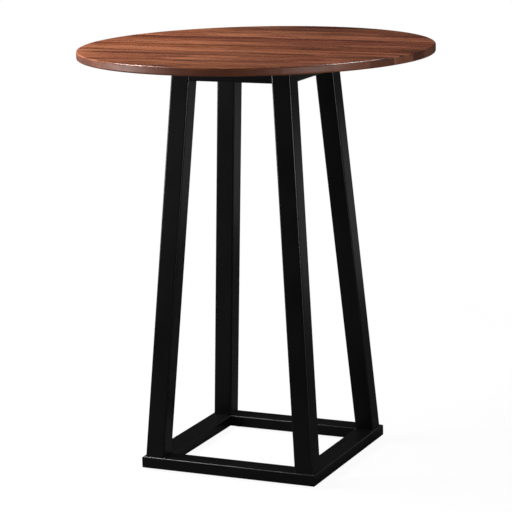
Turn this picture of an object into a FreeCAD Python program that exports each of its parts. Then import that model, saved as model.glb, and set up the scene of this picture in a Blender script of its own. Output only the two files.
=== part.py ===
import FreeCAD, Part
import math
import os
import re
import Sketcher

# Round bar table: a top of glued boards on four splayed square legs, an apron of
# rectangular tube between their heads and a mitred ring of rectangular tube on the
# floor. The origin is on the floor under the middle of the table, +Z is up, the
# boards run along X and the front of the table faces -Y. All lengths are millimetres.

SIZES = {
    # Whole table
    "table_height": 1065.0,
    "floor_gap": 5.0,
    # Top of glued boards
    "top_diameter": 900.0,
    "top_thickness": 20.5,
    "top_edge_radius": 4.0,
    # Steel tube
    "tube_wall": 2.0,
    "tube_corner": 4.0,
    # Ring on the floor
    "base_width": 476.0,
    "base_rail_width": 57.0,
    "base_rail_height": 30.0,
    # Legs and the apron between their heads
    "leg_tube": 50.0,
    "leg_inset": 7.0,
    "head_width": 316.0,
    "apron_height": 50.0,
    "apron_depth": 30.0,
    # Flat bars that carry the top
    "bar_length": 600.0,
    "bar_width": 60.0,
    "bar_thickness": 3.0,
    "bar_leg_gap": 3.0,
    "bar_end_margin": 30.0,
    "bar_corner": 8.0,
    # Bolts, washers and threaded inserts under the top
    "bolt_spacing": 80.0,
    "bolt_apron_gap": 22.0,
    "bolt_shank_radius": 3.0,
    "bolt_shank_length": 16.0,
    "bolt_head_radius": 5.5,
    "bolt_head_height": 3.3,
    "bolt_head_crown": 1.6,
    "bolt_socket_width": 4.0,
    "bolt_socket_depth": 2.0,
    "bolt_hole_radius": 3.4,
    "slot_play": 4.0,
    "washer_radius": 8.0,
    "washer_thickness": 1.5,
    "insert_radius": 5.0,
    "insert_length": 13.0,
    "insert_hole_depth": 15.0,
    # Levelling glides under the ring
    "glide_setback": 70.0,
    "glide_travel": 8.0,
    "glide_pad_radius": 12.0,
    "glide_pad_sole": 1.0,
    "glide_pad_chamfer": 0.6,
    "glide_grip_radius": 1.3,
    "glide_clearance": 0.3,
    "glide_stud_radius": 4.0,
    "glide_stud_chamfer": 0.8,
    "glide_head_radius": 6.5,
    "glide_head_thickness": 1.2,
    "glide_head_play": 0.15,
    "nut_flange_radius": 8.5,
    "nut_flange_thickness": 1.0,
    "nut_body_radius": 5.5,
    "nut_bulb_radius": 7.5,
    "nut_bulb_height": 3.5,
    "nut_length": 14.0,
    # Radial room in threads and sockets, and how far a cut runs past a face
    "fit_gap": 0.05,
    "overrun": 5.0,
}

GRIP_COUNT = 18

# Joints between the boards, from the front to the back, as shares of the top's radius.
BOARD_JOINT_SHARES = (
    -0.851, -0.673, -0.498, -0.329, -0.156, -0.022,
    0.144, 0.344, 0.527, 0.700, 0.867,
)

# Formulas in the named sizes, and in one another.
DERIVED = {
    "top_radius": "top_diameter / 2",
    "top_underside": "table_height - top_thickness",
    "frame_top": "top_underside - bar_thickness",
    "base_top": "floor_gap + base_rail_height",
    "base_half": "base_width / 2",
    "base_inner_half": "base_half - base_rail_width",
    "base_centreline": "base_half - base_rail_width / 2",
    "foot_half": "base_half - leg_inset",
    "head_half": "head_width / 2",
    "leg_rise": "frame_top - base_top",
    "splay": "(foot_half - head_half) / leg_rise",
    "apron_underside": "frame_top - apron_height",
    "apron_top_half": "head_half - leg_tube",
    "apron_bottom_half": "apron_top_half + splay * apron_height",
    "inner_corner": "tube_corner - tube_wall",
    "bar_reach": "apron_top_half - bar_leg_gap - bar_width / 2",
    "bolt_inner_reach": "bolt_spacing / 2",
    "bolt_middle_reach": "head_half + bolt_apron_gap",
    "bolt_outer_reach": "bar_length / 2 - bar_end_margin",
    "glide_reach": "base_half - glide_setback",
    "glide_pad_height": "floor_gap - nut_flange_thickness - glide_clearance",
    "glide_head_bottom": "glide_pad_sole + glide_head_play",
    "glide_head_top": "glide_head_bottom + glide_head_thickness",
    "glide_cavity_top": "glide_head_top + glide_head_play",
    "glide_bore_radius": "glide_stud_radius + fit_gap",
    "nut_top": "floor_gap + nut_length",
    "nut_wall_top": "floor_gap + tube_wall",
    "glide_stud_top": "nut_top + glide_travel",
    "thread_bore_radius": "bolt_shank_radius + fit_gap",
}

CORNERS = (
    ("front_left", 0, -1, -1),
    ("front_right", 90, 1, -1),
    ("back_right", 180, 1, 1),
    ("back_left", 270, -1, 1),
)

SIDES = (
    ("front", 0),
    ("right", 90),
    ("back", 180),
    ("left", 270),
)

UP = FreeCAD.Vector(0, 0, 1)
ORIGIN_POINT = -1

doc = FreeCAD.newDocument("bar_table")
sheet = doc.addObject("Spreadsheet::Sheet", "sizes")
for row, (alias, number) in enumerate(SIZES.items(), start=1):
    sheet.set("A" + str(row), alias)
    sheet.set("B" + str(row), str(number))
    sheet.setAlias("B" + str(row), alias)
doc.recompute()


# Formulas

def formula(text):
    """Spell a formula out in references to the sheet."""
    def spell(match):
        word = match.group(0)
        if word in DERIVED:
            return "(" + formula(DERIVED[word]) + ")"
        if word in SIZES:
            return "sizes." + word
        return word
    return re.sub(r"[a-z][a-z_]*", spell, text)


def amount(text):
    """The present value of a formula."""
    return float(sheet.evalExpression(formula(text)))


def bind(target, prop, text):
    """Tie a property to a formula."""
    target.setExpression(prop, formula(text))


def place(target, x="0", y="0", z="0"):
    """Tie an object's place to formulas."""
    bind(target, "Placement.Base.x", x)
    bind(target, "Placement.Base.y", y)
    bind(target, "Placement.Base.z", z)


def turned(target, degrees):
    """Turn an object about the table's middle."""
    target.Placement = FreeCAD.Placement(FreeCAD.Vector(), FreeCAD.Rotation(UP, degrees))


# Sketches

def new_body(label):
    body = doc.addObject("PartDesign::Body", label)
    body.Label = label
    return body


def new_sketch(body, name, role="XY_Plane", offset="0"):
    """A sketch on one of the body's own origin planes, moved along its normal."""
    sketch = body.newObject("Sketcher::SketchObject", body.Label + "_" + name)
    plane = next(part for part in body.Origin.OriginFeatures if part.Role == role)
    sketch.AttachmentSupport = [(plane, "")]
    sketch.MapMode = "FlatFace"
    bind(sketch, "AttachmentOffset.Base.z", offset)
    return sketch


def pin_point(sketch, geometry, point, x, y):
    """Fix a point of the outline at a formula for each way."""
    for kind, text in (("DistanceX", x), ("DistanceY", y)):
        index = sketch.addConstraint(
            Sketcher.Constraint(kind, ORIGIN_POINT, 1, geometry, point, amount(text)))
        bind(sketch, "Constraints[" + str(index) + "]", text)


def fix_radius(sketch, geometry, radius):
    index = sketch.addConstraint(Sketcher.Constraint("Radius", geometry, amount(radius)))
    bind(sketch, "Constraints[" + str(index) + "]", radius)


def draw_polygon(sketch, points):
    """A closed outline of straight lines through points given as formulas."""
    spots = [FreeCAD.Vector(amount(x), amount(y), 0) for x, y in points]
    following = spots[1:] + spots[:1]
    lines = [sketch.addGeometry(Part.LineSegment(a, b), False) for a, b in zip(spots, following)]
    for line, after in zip(lines, lines[1:] + lines[:1]):
        sketch.addConstraint(Sketcher.Constraint("Coincident", line, 2, after, 1))
    for line, (x, y) in zip(lines, points):
        pin_point(sketch, line, 1, x, y)


def draw_circle(sketch, x, y, radius):
    centre = FreeCAD.Vector(amount(x), amount(y), 0)
    circle = sketch.addGeometry(Part.Circle(centre, UP, amount(radius)), False)
    pin_point(sketch, circle, 3, x, y)
    fix_radius(sketch, circle, radius)


def draw_rounded(sketch, x, y, width, height, radius):
    """A rectangle with round corners about a middle point."""
    quarter = Part.Circle(FreeCAD.Vector(), UP, amount(radius))
    sides = ((1, 1), (-1, 1), (-1, -1), (1, -1))
    arcs = []
    for turn, (right, up) in enumerate(sides):
        middle_x = f"{x} + {right} * ({width} / 2 - ({radius}))"
        middle_y = f"{y} + {up} * ({height} / 2 - ({radius}))"
        quarter.Center = FreeCAD.Vector(amount(middle_x), amount(middle_y), 0)
        start = math.radians(90 * turn)
        arc = sketch.addGeometry(
            Part.ArcOfCircle(quarter, start, start + math.radians(90)), False)
        arcs.append((arc, middle_x, middle_y))
    corners = [sketch.Geometry[arc] for arc, middle_x, middle_y in arcs]
    for step, (arc, middle_x, middle_y) in enumerate(arcs):
        after = arcs[(step + 1) % 4][0]
        line = sketch.addGeometry(
            Part.LineSegment(corners[step].EndPoint, corners[(step + 1) % 4].StartPoint), False)
        sketch.addConstraint(Sketcher.Constraint("Tangent", arc, 2, line, 1))
        sketch.addConstraint(Sketcher.Constraint("Tangent", line, 2, after, 1))
        if after != arcs[0][0]:
            sketch.addConstraint(Sketcher.Constraint(("Horizontal", "Vertical")[step % 2], line))
        pin_point(sketch, arc, 3, middle_x, middle_y)
    fix_radius(sketch, arcs[0][0], radius)


def draw_slot(sketch, x, y, length, radius):
    """A slot along Y with round ends."""
    ends = []
    for up, start in ((1, 0), (-1, 180)):
        middle_y = f"{y} + {up} * ({length} / 2 - {radius})"
        circle = Part.Circle(FreeCAD.Vector(amount(x), amount(middle_y), 0), UP, amount(radius))
        first = math.radians(start)
        arc = sketch.addGeometry(
            Part.ArcOfCircle(circle, first, first + math.radians(180)), False)
        pin_point(sketch, arc, 3, x, middle_y)
        ends.append(arc)
    shapes = [sketch.Geometry[arc] for arc in ends]
    for step, arc in enumerate(ends):
        line = sketch.addGeometry(
            Part.LineSegment(shapes[step].EndPoint, shapes[1 - step].StartPoint), False)
        sketch.addConstraint(Sketcher.Constraint("Tangent", arc, 2, line, 1))
        sketch.addConstraint(Sketcher.Constraint("Tangent", line, 2, ends[1 - step], 1))
        if step == 0:
            sketch.addConstraint(Sketcher.Constraint("Vertical", line))
    fix_radius(sketch, ends[0], radius)


# Features

def pad(body, sketch, length):
    feature = body.newObject("PartDesign::Pad", sketch.Name + "_pad")
    feature.Profile = sketch
    bind(feature, "Length", length)
    return feature


def cut(body, sketch, length, both_ways=False, flipped=False):
    """A pocket, which has to take material away."""
    doc.recompute()
    before = body.Shape.Volume
    feature = body.newObject("PartDesign::Pocket", sketch.Name + "_cut")
    feature.Profile = sketch
    feature.SideType = "Symmetric" if both_ways else "One side"
    feature.Reversed = flipped
    bind(feature, "Length", length)
    doc.recompute()
    if not body.Shape.Volume < before:
        raise RuntimeError(body.Label + ": " + feature.Name + " cuts nothing")
    return feature


def spin(body, points, name="profile"):
    """A turned piece from half of its section, as distances from its axis and heights."""
    sketch = new_sketch(body, name, "XZ_Plane")
    draw_polygon(sketch, points)
    feature = body.newObject("PartDesign::Revolution", sketch.Name + "_turned")
    feature.Profile = sketch
    feature.ReferenceAxis = (sketch, ["V_Axis"])
    feature.Angle = 360
    return feature


def round_edges(body, feature, chosen, radius):
    """Round the edges of a feature that a test picks."""
    doc.recompute()
    names = ["Edge" + str(n) for n, edge in enumerate(feature.Shape.Edges, start=1) if chosen(edge)]
    fillet = body.newObject("PartDesign::Fillet", feature.Name + "_round")
    fillet.Base = (feature, names)
    bind(fillet, "Radius", radius)
    return fillet


def runs_along_x(edge):
    """True of a straight edge along X."""
    if not isinstance(edge.Curve, Part.Line):
        return False
    return abs(edge.Curve.Direction.x) > 1 - Part.Precision.confusion()


def is_rim(edge):
    """True of a full circle."""
    return isinstance(edge.Curve, Part.Circle)


# The top, whose boards are cut from one round blank

def bolt_spots():
    """The places of the top bolts, each with whether the wood may move there."""
    reaches = (("bolt_inner_reach", False), ("bolt_middle_reach", True), ("bolt_outer_reach", True))
    for side in (-1, 1):
        for reach, moves in reaches:
            for way in (-1, 1):
                yield f"{side} * bar_reach", f"{way} * {reach}", moves


def make_top_blank():
    blank = new_body("top_blank")
    outline = new_sketch(blank, "outline", offset="top_underside")
    draw_circle(outline, "0", "0", "top_radius")
    disc = pad(blank, outline, "top_thickness")
    round_edges(blank, disc, is_rim, "top_edge_radius")
    holes = new_sketch(blank, "insert_holes", offset="top_underside")
    for x, y, moves in bolt_spots():
        draw_circle(holes, x, y, "insert_radius + fit_gap")
    cut(blank, holes, "insert_hole_depth", flipped=True)
    return blank


def make_boards(blank):
    joints = [f"top_radius * ({share})" for share in BOARD_JOINT_SHARES]
    edges = ["-top_radius - overrun"] + joints + ["top_radius + overrun"]
    boards = []
    for number, (front, back) in enumerate(zip(edges, edges[1:]), start=1):
        label = "top_board_" + str(number).zfill(2)
        strip = doc.addObject("Part::Box", label + "_strip")
        bind(strip, "Length", "top_diameter + 2 * overrun")
        bind(strip, "Width", f"({back}) - ({front})")
        bind(strip, "Height", "top_thickness + 2 * overrun")
        place(strip, "-top_radius - overrun", front, "top_underside - overrun")
        board = doc.addObject("Part::Common", label)
        board.Label = label
        board.Base = blank
        board.Tool = strip
        boards.append(board)
    return boards


# The steel frame

def make_leg(label, degrees):
    """A splayed square tube, cut level at both ends, for the front left corner."""
    body = new_body(label)
    levels = (("foot", "base_top", "foot_half"), ("head", "frame_top", "head_half"))
    for kind, skin, inset, corner in (
            ("PartDesign::AdditiveLoft", "outer", "0", "tube_corner"),
            ("PartDesign::SubtractiveLoft", "inner", "tube_wall", "inner_corner")):
        sections = []
        for end, level, half in levels:
            section = new_sketch(body, skin + "_" + end, offset=level)
            middle = f"-({half} - leg_tube / 2)"
            width = f"(leg_tube - 2 * {inset})"
            draw_rounded(section, middle, middle, width, width, corner)
            sections.append(section)
        loft = body.newObject(kind, label + "_" + skin)
        loft.Profile = sections[0]
        loft.Sections = [sections[1]]
        loft.Ruled = True
        doc.recompute()
    turned(body, degrees)
    return body


def bore_tube(body, middle_y, middle_z, width, height, length):
    """Hollow a tube that runs along X."""
    bore = new_sketch(body, "bore", "YZ_Plane")
    draw_rounded(bore, middle_y, middle_z, f"({width} - 2 * tube_wall)",
                 f"({height} - 2 * tube_wall)", "inner_corner")
    cut(body, bore, length, both_ways=True)


def make_base_rail(label, degrees, has_glides):
    """A side of the ring on the floor, mitred at both ends, for the front."""
    body = new_body(label)
    outline = new_sketch(body, "outline", offset="floor_gap")
    draw_polygon(outline, (
        ("-base_half", "-base_half"),
        ("base_half", "-base_half"),
        ("base_inner_half", "-base_inner_half"),
        ("-base_inner_half", "-base_inner_half")))
    block = pad(body, outline, "base_rail_height")
    round_edges(body, block, runs_along_x, "tube_corner")
    bore_tube(body, "-base_centreline", "floor_gap + base_rail_height / 2",
              "base_rail_width", "base_rail_height", "base_width + 2 * overrun")
    if has_glides:
        holes = new_sketch(body, "nut_holes", offset="floor_gap")
        for side in (-1, 1):
            draw_circle(holes, f"{side} * glide_reach", "-base_centreline",
                        "nut_body_radius + fit_gap")
        cut(body, holes, "2 * tube_wall", both_ways=True)
    turned(body, degrees)
    return body


def make_apron_rail(label, degrees):
    """A tube between two leg heads, its ends cut to the legs' slope, for the front."""
    body = new_body(label)
    outline = new_sketch(body, "outline", "XZ_Plane", offset="head_half - apron_depth")
    draw_polygon(outline, (
        ("-apron_bottom_half", "apron_underside"),
        ("apron_bottom_half", "apron_underside"),
        ("apron_top_half", "frame_top"),
        ("-apron_top_half", "frame_top")))
    block = pad(body, outline, "apron_depth")
    round_edges(body, block, runs_along_x, "tube_corner")
    bore_tube(body, "-(head_half - apron_depth / 2)", "apron_underside + apron_height / 2",
              "apron_depth", "apron_height", "head_width + 2 * overrun")
    turned(body, degrees)
    return body


def make_top_bar(label, side):
    """A flat bar across the boards, welded on the front and back apron rails."""
    body = new_body(label)
    middle_x = f"{side} * bar_reach"
    outline = new_sketch(body, "outline", offset="frame_top")
    draw_rounded(outline, middle_x, "0", "bar_width", "bar_length", "bar_corner")
    pad(body, outline, "bar_thickness")
    holes = new_sketch(body, "holes", offset="frame_top")
    for x, y, moves in bolt_spots():
        if x != middle_x:
            continue
        if moves:
            draw_slot(holes, x, y, "(2 * (bolt_hole_radius + slot_play))", "bolt_hole_radius")
        else:
            draw_circle(holes, x, y, "bolt_hole_radius")
    cut(body, holes, "bar_thickness + overrun", flipped=True)
    return body


# Fasteners, each drawn once and repeated

def ring_points(bore, radius, bottom, top):
    return ((bore, bottom), (radius, bottom), (radius, top), (bore, top))


def make_bolt():
    """A button head bolt, head down, with the underside of its head at height zero."""
    bolt = new_body("bolt_pattern")
    spin(bolt, (
        ("0", "-bolt_head_height"),
        ("bolt_head_radius - bolt_head_crown", "-bolt_head_height"),
        ("bolt_head_radius - bolt_head_crown / 4", "-bolt_head_height + bolt_head_crown / 2"),
        ("bolt_head_radius", "-bolt_head_height + bolt_head_crown"),
        ("bolt_head_radius", "0"),
        ("bolt_shank_radius", "0"),
        ("bolt_shank_radius", "bolt_shank_length"),
        ("0", "bolt_shank_length")))
    socket = new_sketch(bolt, "socket", offset="-bolt_head_height")
    across = "bolt_socket_width / 2"
    corner = "bolt_socket_width / 2 / cos(30)"
    draw_polygon(socket, (
        (corner, "0"), (f"{corner} / 2", across), (f"-{corner} / 2", across),
        (f"-{corner}", "0"), (f"-{corner} / 2", f"-{across}"), (f"{corner} / 2", f"-{across}")))
    cut(bolt, socket, "bolt_socket_depth", flipped=True)
    return bolt


def make_washer():
    washer = new_body("washer_pattern")
    spin(washer, ring_points("thread_bore_radius", "washer_radius", "-washer_thickness", "0"))
    return washer


def make_insert():
    insert = new_body("insert_pattern")
    spin(insert, ring_points("thread_bore_radius", "insert_radius", "0", "insert_length"))
    return insert


def make_glide_nut():
    """A rivet nut in the lower wall of the ring, drawn at the ring's height."""
    nut = new_body("glide_nut_pattern")
    spin(nut, (
        ("glide_bore_radius", "floor_gap - nut_flange_thickness"),
        ("nut_flange_radius", "floor_gap - nut_flange_thickness"),
        ("nut_flange_radius", "floor_gap"),
        ("nut_body_radius", "floor_gap"),
        ("nut_body_radius", "nut_wall_top"),
        ("nut_bulb_radius", "nut_wall_top"),
        ("nut_bulb_radius", "nut_wall_top + nut_bulb_height / 2"),
        ("nut_body_radius", "nut_wall_top + nut_bulb_height"),
        ("nut_body_radius", "nut_top"),
        ("glide_bore_radius", "nut_top")))
    return nut


def repeat(label, pattern, spots):
    """One sub-part of several alike solids, a copy of the pattern at each spot."""
    copies = []
    for number, (x, y, z) in enumerate(spots, start=1):
        copy = doc.addObject("App::Link", label + "_" + str(number).zfill(2))
        copy.LinkedObject = pattern
        place(copy, x, y, z)
        copies.append(copy)
    group = doc.addObject("Part::Compound", label)
    group.Label = label
    group.Links = copies
    return group


def glide_spot(side_x, side_y):
    return f"{side_x} * glide_reach", f"{side_y} * base_centreline"


# Levelling glides

def make_glide_stud(label, side_x, side_y):
    """A threaded stud whose flat head sits inside the pad."""
    stud = new_body(label)
    spin(stud, (
        ("0", "glide_head_bottom"),
        ("glide_head_radius", "glide_head_bottom"),
        ("glide_head_radius", "glide_head_top"),
        ("glide_stud_radius", "glide_head_top"),
        ("glide_stud_radius", "glide_stud_top - glide_stud_chamfer"),
        ("glide_stud_radius - glide_stud_chamfer", "glide_stud_top"),
        ("0", "glide_stud_top")))
    place(stud, *glide_spot(side_x, side_y))
    return stud


def make_glide_pad(label, side_x, side_y):
    """A low round pad, scalloped for the fingers, closed around the stud's head."""
    body = new_body(label)
    cavity_radius = "glide_head_radius + glide_head_play"
    spin(body, (
        ("0", "0"),
        ("glide_pad_radius - glide_pad_chamfer", "0"),
        ("glide_pad_radius", "glide_pad_chamfer"),
        ("glide_pad_radius", "glide_pad_height - glide_pad_chamfer"),
        ("glide_pad_radius - glide_pad_chamfer", "glide_pad_height"),
        ("glide_bore_radius", "glide_pad_height"),
        ("glide_bore_radius", "glide_cavity_top"),
        (cavity_radius, "glide_cavity_top"),
        (cavity_radius, "glide_pad_sole"),
        ("0", "glide_pad_sole")))
    grip = new_sketch(body, "grip")
    draw_circle(grip, "glide_pad_radius + glide_grip_radius / 2", "0", "glide_grip_radius")
    scallop = cut(body, grip, "glide_pad_height", flipped=True)
    pattern = body.newObject("PartDesign::PolarPattern", label + "_grips")
    pattern.Originals = [scallop]
    pattern.Axis = (grip, ["N_Axis"])
    pattern.Angle = 360
    pattern.Occurrences = GRIP_COUNT
    body.Tip = pattern
    place(body, *glide_spot(side_x, side_y))
    return body


def make_table():
    """Every sub-part of the table."""
    pieces = make_boards(make_top_blank())
    for side, degrees in SIDES:
        pieces.append(make_apron_rail("apron_rail_" + side, degrees))
        pieces.append(make_base_rail("base_rail_" + side, degrees, side in ("front", "back")))
    for side, sign in (("left", -1), ("right", 1)):
        pieces.append(make_top_bar("top_bar_" + side, sign))
    under_bars = "frame_top"
    spots = [(x, y) for x, y, moves in bolt_spots()]
    heights = (
        ("top_bolts", make_bolt(), under_bars + " - washer_thickness"),
        ("top_washers", make_washer(), under_bars),
        ("wood_inserts", make_insert(), "top_underside"))
    for label, pattern, height in heights:
        pieces.append(repeat(label, pattern, [(x, y, height) for x, y in spots]))
    nut_spots = [glide_spot(side_x, side_y) + ("0",) for corner, turn, side_x, side_y in CORNERS]
    pieces.append(repeat("glide_nuts", make_glide_nut(), nut_spots))
    for corner, degrees, side_x, side_y in CORNERS:
        pieces.append(make_leg("leg_" + corner, degrees))
        pieces.append(make_glide_stud("glide_stud_" + corner, side_x, side_y))
        pieces.append(make_glide_pad("glide_pad_" + corner, side_x, side_y))
    return pieces


def check(pieces):
    """Stop if any feature failed or any sub-part is empty or not valid."""
    failed = [thing.Name for thing in doc.Objects if {"Invalid", "Error"} & set(thing.State)]
    if failed:
        raise RuntimeError("failed: " + ", ".join(failed))
    for piece in pieces:
        if piece.Shape.isNull() or not piece.Shape.isValid() or not piece.Shape.Solids:
            raise RuntimeError("not a valid solid: " + piece.Label)


table = make_table()
doc.recompute()
check(table)
os.makedirs("parts", exist_ok=True)
for piece in table:
    piece.Shape.exportStep(os.path.join("parts", piece.Label + ".step"))
print(len(table), "sub-parts,", sum(len(piece.Shape.Solids) for piece in table), "solids")
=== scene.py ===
import math

import bpy
from mathutils import Matrix, Vector


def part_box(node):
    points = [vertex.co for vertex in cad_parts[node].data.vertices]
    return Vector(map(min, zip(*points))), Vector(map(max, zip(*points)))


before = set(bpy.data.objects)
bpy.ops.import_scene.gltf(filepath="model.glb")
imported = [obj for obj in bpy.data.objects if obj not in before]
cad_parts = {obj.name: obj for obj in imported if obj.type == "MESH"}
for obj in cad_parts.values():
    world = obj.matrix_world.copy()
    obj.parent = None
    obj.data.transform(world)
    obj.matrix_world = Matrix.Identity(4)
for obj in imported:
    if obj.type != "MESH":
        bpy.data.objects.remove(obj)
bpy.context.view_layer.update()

# Round bar table with a top of glued boards and a black steel frame. Metres, with the
# floor at z = 0, the boards along X and the front of the table towards -Y.
#
# A fade is four numbers, as Graph.remap takes them: the input where it starts, the input
# where it ends, and the values there, which are 0 and 1 where only two are given.


# Camera

LENS = 156.144
SENSOR = 36.0
CAMERA_AT = Vector((2.2733, -5.0683, 1.7027))
YAW, PITCH, ROLL = -0.4238, 0.2089, -0.0238
CLIP_END = 60


def make_camera():
    """The photograph's view, from the front right and a little above the top."""
    forward = Vector((math.sin(YAW) * math.cos(PITCH), math.cos(YAW) * math.cos(PITCH),
                      -math.sin(PITCH)))
    level = Vector((math.cos(YAW), -math.sin(YAW), 0))
    upright = level.cross(forward)
    right = math.cos(ROLL) * level + math.sin(ROLL) * upright
    up = math.cos(ROLL) * upright - math.sin(ROLL) * level
    data = bpy.data.cameras.new("camera")
    data.lens = LENS
    data.sensor_width = SENSOR
    data.clip_end = CLIP_END
    camera = bpy.data.objects.new("camera", data)
    axes = Matrix((right, up, -forward)).transposed()
    camera.matrix_world = Matrix.Translation(CAMERA_AT) @ axes.to_4x4()
    bpy.context.scene.collection.objects.link(camera)
    bpy.context.scene.camera = camera


# Shader graphs

class Graph:
    """A node tree, with the few kinds of node that the materials are made of."""

    def __init__(self, tree):
        self.tree = tree

    def node(self, kind, **settings):
        made = self.tree.nodes.new(kind)
        for name, value in settings.items():
            setattr(made, name, value)
        return made

    def put(self, socket, value):
        """A socket takes another socket's value, or a plain one."""
        if isinstance(value, bpy.types.NodeSocket):
            self.tree.links.new(value, socket)
        else:
            socket.default_value = value

    def place(self, output="Object"):
        return self.node("ShaderNodeTexCoord").outputs[output]

    def math(self, operation, a, b=0.0, c=0.0, clamp=False):
        made = self.node("ShaderNodeMath", operation=operation, use_clamp=clamp)
        for socket, value in zip(made.inputs, (a, b, c)):
            self.put(socket, value)
        return made.outputs[0]

    def vector(self, operation, a, b=(0, 0, 0), output="Vector"):
        made = self.node("ShaderNodeVectorMath", operation=operation)
        self.put(made.inputs[0], a)
        self.put(made.inputs[1], b)
        return made.outputs[output]

    def parts(self, vector):
        made = self.node("ShaderNodeSeparateXYZ")
        self.put(made.inputs[0], vector)
        return made.outputs

    def joined(self, x, y, z):
        made = self.node("ShaderNodeCombineXYZ")
        for socket, value in zip(made.inputs, (x, y, z)):
            self.put(socket, value)
        return made.outputs[0]

    def remap(self, value, low, high, to_low=0.0, to_high=1.0):
        """Smoothly from one value to another as the input passes from low to high."""
        made = self.node("ShaderNodeMapRange", interpolation_type="SMOOTHSTEP")
        for socket, number in zip(made.inputs, (value, low, high, to_low, to_high)):
            self.put(socket, number)
        return made.outputs[0]

    def noise(self, vector, scale=1.0, detail=2.0, roughness=0.5, distortion=0.0):
        made = self.node("ShaderNodeTexNoise")
        self.put(made.inputs["Vector"], vector)
        self.put(made.inputs["Scale"], scale)
        self.put(made.inputs["Detail"], detail)
        self.put(made.inputs["Roughness"], roughness)
        self.put(made.inputs["Distortion"], distortion)
        return made.outputs["Fac"]

    def mix(self, factor, a, b, blend="MIX"):
        made = self.node("ShaderNodeMix", data_type="RGBA", blend_type=blend)
        for name, value in (("Factor_Float", factor), ("A_Color", a), ("B_Color", b)):
            socket = next(s for s in made.inputs if s.identifier == name)
            if isinstance(value, tuple) and len(value) == 3:
                value = value + (1.0,)
            self.put(socket, value)
        return next(s for s in made.outputs if s.identifier == "Result_Color")

    def bump(self, height, distance, strength=1.0):
        made = self.node("ShaderNodeBump")
        self.put(made.inputs["Height"], height)
        made.inputs["Distance"].default_value = distance
        made.inputs["Strength"].default_value = strength
        return made.outputs["Normal"]


def new_material(name):
    """A material with nothing but its Principled shader, and a graph to fill."""
    material = bpy.data.materials.new(name)
    material.use_nodes = True
    graph = Graph(material.node_tree)
    shader = next(n for n in material.node_tree.nodes if n.type == "BSDF_PRINCIPLED")
    return material, graph, shader


def dress(node, material):
    """Give a CAD node its finish."""
    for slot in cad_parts[node].material_slots:
        slot.material = material


# Wood. The grain is a solid texture: growth rings about a pith that runs nearly along X.

# Light and dark colour of each tone of board
WOOD = {
    "pale": ((0.57, 0.208, 0.102), (0.185, 0.052, 0.026)),
    "light": ((0.47, 0.166, 0.079), (0.150, 0.042, 0.021)),
    "mid": ((0.34, 0.111, 0.053), (0.092, 0.025, 0.014)),
    "red": ((0.33, 0.095, 0.044), (0.090, 0.021, 0.011)),
    "dark": ((0.24, 0.062, 0.025), (0.060, 0.014, 0.007)),
}
SAPWOOD = (0.52, 0.27, 0.15)
ORANGE = (0.46, 0.150, 0.052)
# Painted sheen: the colour of light patches laid over the grain as if they caught the
# light
PAINTED_SHEEN = (0.52, 0.205, 0.100)
# Dark colour of the wood's streaks, patches, fibres and glue lines, and of the painted
# shade at the left of the top's edge
DARK_STREAK_AND_PAINTED_SHADE = (0.050, 0.013, 0.008)
PORE = (0.020, 0.008, 0.005)

# From the front board to the back: tone, how far the pith lies behind the board's middle
# and under its top, and how steeply it rises along the board.
BOARDS = (
    ("mid", 0.020, 0.060, 0.060),
    ("light", -0.045, 0.050, -0.045),
    ("pale", 0.010, 0.085, 0.110),
    ("mid", -0.060, 0.075, 0.050),
    ("pale", 0.050, 0.040, -0.080),
    ("dark", 0.000, 0.120, 0.130),
    ("light", 0.015, 0.055, -0.060),
    ("red", -0.055, 0.080, 0.050),
    ("pale", 0.030, 0.100, -0.120),
    ("light", -0.020, 0.045, 0.070),
    ("mid", 0.050, 0.090, -0.050),
    ("dark", -0.010, 0.070, 0.090),
)
TOP_RADIUS = 0.45

# How far each next board's noise is moved, so that no two boards are alike
BOARD_SHIFT = (3.7, 1.9, 2.3)
BAND_SHIFT = 5.3

# Layers of noise: features to the metre along and across the board, and the settings
BEND = (1.6, 7.0, {"detail": 2.0})
RIPPLE = (11.0, 45.0, {"detail": 2.0})
BLOTCH = (3.6, 30.0, {"detail": 4.0, "roughness": 0.6, "distortion": 0.15})
STREAK = (3.2, 105.0, {"detail": 4.0, "roughness": 0.62})
HAIRLINE = (6.0, 270.0, {"detail": 3.0, "roughness": 0.7})
PATCH = (5.0, 52.0, {"detail": 3.0, "distortion": 0.2})
PAINTED_SHEEN_PATCHES = (4.5, 44.0, {"detail": 3.0})
FIBRE = (30.0, 1500.0, {"detail": 2.0})
PORES = (70.0, 1900.0, {"detail": 1.0})
WARMTH = (2.6, 16.0, {"detail": 2.0})
NOISE_MIDDLE = 0.5

# The same for the broad bands, along the board and out from the pith
BANDS_ALONG, BANDS_OUTWARDS = 1.8, 38.0
BAND_SETTINGS = {"detail": 4.0, "roughness": 0.6}

# Where the layers come up
BAND_FADE = (0.40, 0.62)
BLOTCH_FADE = (0.43, 0.60)
STREAK_FADE = (0.43, 0.60)
HAIRLINE_FADE = (0.46, 0.62)
PATCH_FADE = (0.60, 0.67)
PAINTED_SHEEN_FADE = (0.55, 0.65)
PORE_FADE = (0.64, 0.72)
WARMTH_FADE = (0.42, 0.66, 0.0, 0.55)
FIBRE_FADE = (0.3, 0.7, 0.0, 0.20)

# Width of a growth ring, how narrow its late wood is, and how far the rings are bent
RING = 0.0042
LATE_WOOD_POWER = 3.0
BEND_DEPTH = 0.032
RIPPLE_DEPTH = 0.006

# How much of the dark colour each layer adds, and how strong the other layers are
BAND_SHARE = 0.42
BLOTCH_SHARE = 0.34
STREAK_SHARE = 0.30
HAIRLINE_SHARE = 0.20
LATE_WOOD_SHARE = 0.14
PAINTED_SHEEN_SHARE = 0.40
PATCH_SHARE = 0.75
PORE_SHARE = 0.5

# The wood is a little redder towards the right, and some boards darken that way.
RED_TINT = (0.98, 0.91, 0.93)
RED_FADE = (0.0, 0.30)
DARKENING = {2: 0.40}
DARKENING_FROM, DARKENING_TO = -0.15, 0.40
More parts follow.
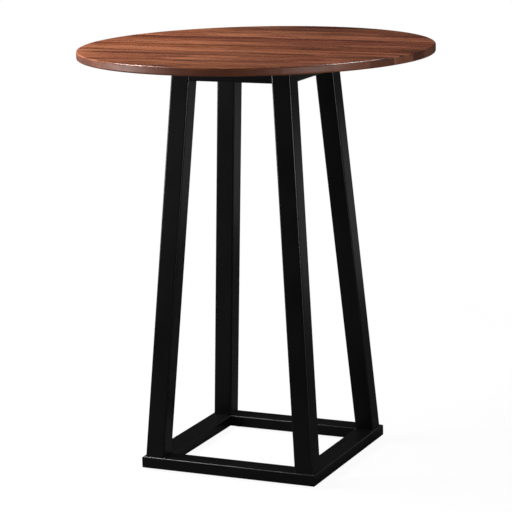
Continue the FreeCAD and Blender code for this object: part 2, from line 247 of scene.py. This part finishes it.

# The edge of the top starts at a depth under the face. It is plainer than the face, and
# darker towards both ends, where it is end grain; the extra dark most at the left is
# painted shade.
SIDE_FADE = (0.0015, 0.0045)
SIDE_PLAINNESS = 0.75
SIDE_END_GRAIN_DARKENING = 0.15
SIDE_LEFT_PAINTED_SHADE_FADE = (-0.31, -0.17, 0.62, 0.0)

# Pale sapwood along the front edge of a board, under its face: board and width
SAPWOOD_EDGES = {4: 0.004, 5: 0.012}
SAPWOOD_STARTS = 0.6
SAPWOOD_FADE = (0.0015, 0.0045)
SAPWOOD_SHARE = 0.2

# Glue lines by distance from the joint, and how much fainter on the edge of the top
GLUE_FADE = (0.0002, 0.0009, 0.55, 0.0)
GLUE_LOSS_ON_SIDE = -0.7

# Gloss by depth under the face: polished face, duller edge
WOOD_ROUGHNESS = (0.0003, 0.005, 0.19, 0.45)
STREAK_ROUGHNESS = 0.03
PORE_ROUGHNESS = 0.08
WOOD_SPECULAR = 0.45
FIBRE_RELIEF, PORE_RELIEF = 0.35, -1.0
WOOD_RELIEF_DEPTH, WOOD_RELIEF_STRENGTH = 0.00001, 0.6


def make_wood(node, number, tone, pith_y, pith_depth, rise):
    low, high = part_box(node)
    material, graph, shader = new_material(node + "_wood")
    place = graph.place()
    seeded = graph.vector("ADD", place, tuple(shift * number for shift in BOARD_SHIFT))
    x, y, z = graph.parts(place)[:3]

    def grain(layer):
        along, across, settings = layer
        return graph.noise(graph.vector("MULTIPLY", seeded, (along, across, across)),
                           **settings)

    # Distance from the pith, bent slowly along the board and rippled finely
    bend = graph.math("SUBTRACT", grain(BEND), NOISE_MIDDLE)
    ripple = graph.math("SUBTRACT", grain(RIPPLE), NOISE_MIDDLE)
    from_y = graph.math("SUBTRACT", y, (low.y + high.y) / 2 + pith_y)
    from_z = graph.math("MULTIPLY_ADD", x, rise, pith_depth - high.z)
    from_z = graph.math("ADD", z, from_z)
    radius = graph.vector("LENGTH", graph.joined(from_y, from_z, 0.0), output="Value")
    radius = graph.math("MULTIPLY_ADD", bend, BEND_DEPTH, radius)
    radius = graph.math("MULTIPLY_ADD", ripple, RIPPLE_DEPTH, radius)

    # Broad bands of colour that follow the rings, and the rings themselves
    band_place = graph.joined(graph.math("MULTIPLY", x, BANDS_ALONG),
                              graph.math("MULTIPLY", radius, BANDS_OUTWARDS),
                              BAND_SHIFT * number)
    band = graph.remap(graph.noise(band_place, **BAND_SETTINGS), *BAND_FADE)
    wave = graph.math("SINE", graph.math("MULTIPLY", radius, 2 * math.pi / RING))
    late = graph.math("POWER", graph.math("MULTIPLY_ADD", wave, 0.5, 0.5), LATE_WOOD_POWER)

    # Long streaks and hairlines, short dark patches, fibres and open pores
    blotch = graph.remap(grain(BLOTCH), *BLOTCH_FADE)
    streak = graph.remap(grain(STREAK), *STREAK_FADE)
    hairline = graph.remap(grain(HAIRLINE), *HAIRLINE_FADE)
    patch = graph.remap(grain(PATCH), *PATCH_FADE)
    painted_sheen = graph.remap(grain(PAINTED_SHEEN_PATCHES), *PAINTED_SHEEN_FADE)
    fibre = grain(FIBRE)
    pore = graph.remap(grain(PORES), *PORE_FADE)

    light, dark = WOOD[tone]
    dark_share = graph.math("MULTIPLY", band, BAND_SHARE)
    dark_share = graph.math("MULTIPLY_ADD", blotch, BLOTCH_SHARE, dark_share)
    dark_share = graph.math("MULTIPLY_ADD", streak, STREAK_SHARE, dark_share)
    dark_share = graph.math("MULTIPLY_ADD", hairline, HAIRLINE_SHARE, dark_share)
    dark_share = graph.math("MULTIPLY_ADD", late, LATE_WOOD_SHARE, dark_share, clamp=True)
    warm = graph.remap(grain(WARMTH), *WARMTH_FADE)
    colour = graph.mix(dark_share, graph.mix(warm, light, ORANGE), dark)
    # Light patches mixed into the colour, a painted sheen
    colour = graph.mix(graph.math("MULTIPLY", painted_sheen, PAINTED_SHEEN_SHARE), colour, PAINTED_SHEEN)
    colour = graph.mix(graph.math("MULTIPLY", patch, PATCH_SHARE), colour, DARK_STREAK_AND_PAINTED_SHADE)
    colour = graph.mix(graph.remap(x, *RED_FADE), colour, RED_TINT, blend="MULTIPLY")
    if number in DARKENING:
        shade = graph.remap(x, DARKENING_FROM, DARKENING_TO, 0.0, DARKENING[number])
        colour = graph.mix(shade, colour, DARK_STREAK_AND_PAINTED_SHADE)

    # The edge of the top
    under = graph.math("SUBTRACT", high.z, z)
    side = graph.remap(under, *SIDE_FADE)
    plain = tuple((a + b) / 2 for a, b in zip(light, dark))
    colour = graph.mix(graph.math("MULTIPLY", side, SIDE_PLAINNESS), colour, plain)
    # End grain darkens the edge towards both ends; the extra darkening at the left is
    # painted shade.
    shade = graph.math("POWER", graph.math("DIVIDE", x, TOP_RADIUS), 2.0)
    shade = graph.math("MULTIPLY_ADD", shade, SIDE_END_GRAIN_DARKENING,
                       graph.remap(x, *SIDE_LEFT_PAINTED_SHADE_FADE))
    colour = graph.mix(graph.math("MULTIPLY", shade, side), colour, DARK_STREAK_AND_PAINTED_SHADE)
    from_front = graph.math("SUBTRACT", y, low.y)
    if number in SAPWOOD_EDGES:
        width = SAPWOOD_EDGES[number]
        inward = graph.math("MULTIPLY_ADD", ripple, RIPPLE_DEPTH, from_front)
        pale = graph.math("MULTIPLY",
                          graph.remap(inward, width * SAPWOOD_STARTS, width, 1.0, 0.0),
                          graph.remap(under, *SAPWOOD_FADE))
        colour = graph.mix(graph.math("MULTIPLY", pale, SAPWOOD_SHARE), colour, SAPWOOD)
    colour = graph.mix(graph.remap(fibre, *FIBRE_FADE), colour, DARK_STREAK_AND_PAINTED_SHADE)
    colour = graph.mix(graph.math("MULTIPLY", pore, PORE_SHARE), colour, PORE)

    # Glue lines at the board's two edges
    from_back = graph.math("SUBTRACT", high.y, y)
    from_joint = graph.math("MINIMUM", from_front, from_back)
    glue = graph.math("MULTIPLY", graph.remap(from_joint, *GLUE_FADE),
                      graph.math("MULTIPLY_ADD", side, GLUE_LOSS_ON_SIDE, 1.0))
    colour = graph.mix(glue, colour, DARK_STREAK_AND_PAINTED_SHADE)

    graph.put(shader.inputs["Base Color"], colour)
    rough = graph.remap(under, *WOOD_ROUGHNESS)
    rough = graph.math("MULTIPLY_ADD", streak, STREAK_ROUGHNESS, rough)
    rough = graph.math("MULTIPLY_ADD", pore, PORE_ROUGHNESS, rough)
    graph.put(shader.inputs["Roughness"], rough)
    shader.inputs["Specular IOR Level"].default_value = WOOD_SPECULAR
    relief = graph.math("MULTIPLY_ADD", fibre, FIBRE_RELIEF,
                        graph.math("MULTIPLY", pore, PORE_RELIEF))
    graph.put(shader.inputs["Normal"],
              graph.bump(relief, WOOD_RELIEF_DEPTH, WOOD_RELIEF_STRENGTH))
    return material


# Metal and plastic. Noise scales are features to the metre, relief depths are metres.

COAT_DARK = (0.0016, 0.0016, 0.0017)
COAT_LIGHT = (0.0028, 0.0028, 0.0029)
COAT_CLOUDS, COAT_PEEL, COAT_SPECKS = 6.0, 900.0, 2600.0
COAT_CLOUD_FADE = (0.3, 0.7)
COAT_ROUGHNESS, COAT_ROUGHNESS_SPREAD = 0.26, 0.10
COAT_SPECULAR = 0.45
COAT_SPECK_RELIEF = 0.3
COAT_RELIEF_DEPTH, COAT_RELIEF_STRENGTH = 0.00004, 0.5

# By the name of its material in model.glb: colour and roughness of the plating over turned
# steel, or of brass
PLATES = {
    "black_zinc": ((0.06, 0.06, 0.065), 0.35),
    "zinc_steel": ((0.55, 0.56, 0.58), 0.3),
    "brass": ((0.72, 0.55, 0.25), 0.3),
}
TURNING = (300, 300, 6000)
PLATE_CLOUDS = 120.0
PLATE_WEAR, PLATE_WEAR_ADDED = 1.5, 0.02
PLATE_ROUGHNESS_SPREAD = 0.2
PLATE_RELIEF_DEPTH, PLATE_RELIEF_STRENGTH = 0.00002, 0.4

NYLON = (0.018, 0.018, 0.018)
NYLON_SCUFFED = (0.035, 0.034, 0.033)
NYLON_GRIT, NYLON_SCUFFS = 3000.0, 400.0
SCUFF_FADE = (0.5, 0.8)
NYLON_ROUGHNESS = 0.6
NYLON_RELIEF_DEPTH, NYLON_RELIEF_STRENGTH = 0.00003, 0.5


def make_powder_coat():
    """Satin black, with the fine orange peel of a baked powder."""
    material, graph, shader = new_material("black_powder_coat_finish")
    place = graph.place()
    cloud = graph.noise(place, scale=COAT_CLOUDS, detail=3.0)
    peel = graph.noise(place, scale=COAT_PEEL, detail=1.0)
    speck = graph.noise(place, scale=COAT_SPECKS, detail=1.0)
    colour = graph.mix(graph.remap(cloud, *COAT_CLOUD_FADE), COAT_DARK, COAT_LIGHT)
    graph.put(shader.inputs["Base Color"], colour)
    rough = graph.math("MULTIPLY_ADD", cloud, COAT_ROUGHNESS_SPREAD, COAT_ROUGHNESS)
    graph.put(shader.inputs["Roughness"], rough)
    shader.inputs["Specular IOR Level"].default_value = COAT_SPECULAR
    relief = graph.math("ADD", peel, graph.math("MULTIPLY", speck, COAT_SPECK_RELIEF))
    graph.put(shader.inputs["Normal"],
              graph.bump(relief, COAT_RELIEF_DEPTH, COAT_RELIEF_STRENGTH))
    return material


def make_plate(name, colour, roughness):
    """Bright or black turned metal, a little worn."""
    material, graph, shader = new_material(name + "_finish")
    place = graph.place()
    turned = graph.noise(graph.vector("MULTIPLY", place, TURNING), detail=2.0)
    cloud = graph.noise(place, scale=PLATE_CLOUDS, detail=2.0)
    worn = tuple(min(1.0, c * PLATE_WEAR + PLATE_WEAR_ADDED) for c in colour)
    graph.put(shader.inputs["Base Color"], graph.mix(cloud, colour, worn))
    rough = graph.math("MULTIPLY_ADD", cloud, PLATE_ROUGHNESS_SPREAD, roughness)
    graph.put(shader.inputs["Roughness"], rough)
    shader.inputs["Metallic"].default_value = 1.0
    graph.put(shader.inputs["Normal"],
              graph.bump(turned, PLATE_RELIEF_DEPTH, PLATE_RELIEF_STRENGTH))
    return material


def make_nylon():
    """Black moulded nylon, lightly scuffed."""
    material, graph, shader = new_material("black_nylon_finish")
    place = graph.place()
    grit = graph.noise(place, scale=NYLON_GRIT, detail=2.0)
    scuff = graph.noise(place, scale=NYLON_SCUFFS, detail=3.0)
    colour = graph.mix(graph.remap(scuff, *SCUFF_FADE), NYLON, NYLON_SCUFFED)
    graph.put(shader.inputs["Base Color"], colour)
    shader.inputs["Roughness"].default_value = NYLON_ROUGHNESS
    graph.put(shader.inputs["Normal"],
              graph.bump(grit, NYLON_RELIEF_DEPTH, NYLON_RELIEF_STRENGTH))
    return material


def dress_all():
    for number, board in enumerate(BOARDS, start=1):
        node = f"top_board_{number:02d}"
        dress(node, make_wood(node, number, *board))
    finishes = {"black_powder_coat": make_powder_coat(), "black_nylon": make_nylon()}
    for name, (colour, roughness) in PLATES.items():
        finishes[name] = make_plate(name, colour, roughness)
    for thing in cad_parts.values():
        for slot in thing.material_slots:
            if slot.material.name in finishes:
                slot.material = finishes[slot.material.name]


# Stage: a white floor and background to the camera, and a dim studio to the gloss

# What a gloss sees: the way to each side of the studio, and its brightness as the cosine
# of the angle from that way rises
STUDIO = (
    ((0.85, -0.53, 0.0), (0.83, 0.96, 0.0, 0.3)),
    ((0.70, 0.71, 0.0), (0.35, 0.95, 0.02, 0.06)),
    ((-0.966, 0.26, 0.0), (0.72, 0.95, 0.0, 0.2)),
)

# The light from all round, which is weaker in front
FRONT = (0.35, -0.94, 0.0)
AMBIENT_FADE = (0.0, 0.8, 0.45, 0.05)

FLOOR_REACH = 40.0
FLOOR_GREY = (0.075, 0.075, 0.075, 1)
FLOOR_ROUGHNESS = 0.9
FLOOR_WHITE = 0.935
FAR_FLOOR_FADE = (0.9, 2.6)
FAR_FLOOR_LIGHT = 0.3

# Soft boxes: place, what it faces, width, height, power, and whether it is only for the
# light, which leaves no glare, or only for the gloss, which adds a highlight and no light.
# The cards stand below the top, so that it doesn't mirror them.
LAMPS = {
    "left_softbox": ((-1.2, -0.3, 1.95), (0, 0, 1.06), 1.0, 1.0, 58, "light"),
    "left_card": ((-2.06, -1.24, 0.79), (0, 0, 0.9), 1.0, 0.5, 23, None),
    "right_card": ((1.9, -1.2, 0.88), (0, 0, 0.9), 1.0, 0.36, 10.5, None),
    "back_card": ((0.60, 1.40, 0.46), (0, 0, 0.6), 1.3, 0.5, 0.34, "gloss"),
    "left_gleam": ((-1.5, -0.2, 2.56), (-0.2, -0.3, 1.06), 0.7, 0.7, 57, "gloss"),
    "right_gleam": ((1.31, 0.40, 2.89), (0.3, -0.3, 1.06), 1.6, 0.8, 62, "gloss"),
}


def shown(graph, place):
    """How bright the set is to the rays that see it, white to the camera and through
    glass and as bright as the studio is that way to a gloss, and how much it lights."""
    path = graph.node("ShaderNodeLightPath").outputs
    way = graph.vector("NORMALIZE", place)

    def cosine(side):
        return graph.vector("DOT_PRODUCT", way, side, output="Value")

    sides = [graph.remap(cosine(side), *fade) for side, fade in STUDIO]
    studio = sides[0]
    for side in sides[1:]:
        studio = graph.math("MAXIMUM", studio, side)
    seen = graph.math("ADD", path["Is Camera Ray"], path["Is Transmission Ray"])
    seen = graph.math("MULTIPLY_ADD", path["Is Glossy Ray"], studio, seen, clamp=True)
    lit = graph.math("SUBTRACT", 1.0, path["Is Camera Ray"])
    lit = graph.math("SUBTRACT", lit, path["Is Transmission Ray"])
    lit = graph.math("SUBTRACT", lit, path["Is Glossy Ray"], clamp=True)
    return seen, graph.math("MULTIPLY", lit, graph.remap(cosine(FRONT), *AMBIENT_FADE))


def make_world():
    world = bpy.data.worlds.new("studio")
    world.use_nodes = True
    bpy.context.scene.world = world
    graph = Graph(world.node_tree)
    background = next(n for n in world.node_tree.nodes if n.type == "BACKGROUND")
    background.inputs["Color"].default_value = (1, 1, 1, 1)
    seen, lit = shown(graph, graph.place("Generated"))
    graph.put(background.inputs["Strength"], graph.math("ADD", lit, seen))


def make_floor():
    """Pale, keeping the table's shadow near it, and plain white further away."""
    mesh = bpy.data.meshes.new("floor")
    corners = [(x * FLOOR_REACH, y * FLOOR_REACH, 0)
               for x, y in ((-1, -1), (1, -1), (1, 1), (-1, 1))]
    mesh.from_pydata(corners, [], [(0, 1, 2, 3)])
    floor = bpy.data.objects.new("floor", mesh)
    bpy.context.scene.collection.objects.link(floor)
    material, graph, shader = new_material("pale_floor")
    shader.inputs["Base Color"].default_value = FLOOR_GREY
    shader.inputs["Roughness"].default_value = FLOOR_ROUGHNESS
    shader.inputs["Specular IOR Level"].default_value = 0.0
    place = graph.place()
    seen, lit = shown(graph, place)
    path = graph.node("ShaderNodeLightPath").outputs
    near = graph.node("ShaderNodeAddShader")
    fill = graph.node("ShaderNodeEmission")
    graph.put(fill.inputs["Strength"],
              graph.math("MULTIPLY", path["Is Camera Ray"], FLOOR_WHITE))
    graph.put(near.inputs[0], shader.outputs[0])
    graph.put(near.inputs[1], fill.outputs[0])
    far = graph.node("ShaderNodeEmission")
    graph.put(far.inputs["Strength"],
              graph.math("MULTIPLY_ADD", lit, FAR_FLOOR_LIGHT, seen))
    distance = graph.vector("LENGTH", place, output="Value")
    blend = graph.node("ShaderNodeMixShader")
    graph.put(blend.inputs[0], graph.remap(distance, *FAR_FLOOR_FADE))
    graph.put(blend.inputs[1], near.outputs[0])
    graph.put(blend.inputs[2], far.outputs[0])
    output = next(n for n in material.node_tree.nodes if n.type == "OUTPUT_MATERIAL")
    graph.put(output.inputs["Surface"], blend.outputs[0])
    mesh.materials.append(material)


def make_lamp(name, at, towards, width, height, power, only):
    data = bpy.data.lights.new(name, "AREA")
    data.shape = "RECTANGLE"
    data.size = width
    data.size_y = height
    data.energy = power
    lamp = bpy.data.objects.new(name, data)
    lamp.location = at
    lamp.rotation_mode = "QUATERNION"
    lamp.rotation_quaternion = (Vector(towards) - Vector(at)).to_track_quat("-Z", "Y")
    lamp.visible_camera = False
    lamp.visible_diffuse = only != "gloss"
    lamp.visible_glossy = only != "light"
    bpy.context.scene.collection.objects.link(lamp)


make_camera()
dress_all()
make_world()
make_floor()
for name, lamp in LAMPS.items():
    make_lamp(name, *lamp)

bpy.context.scene.view_settings.view_transform = "Standard"
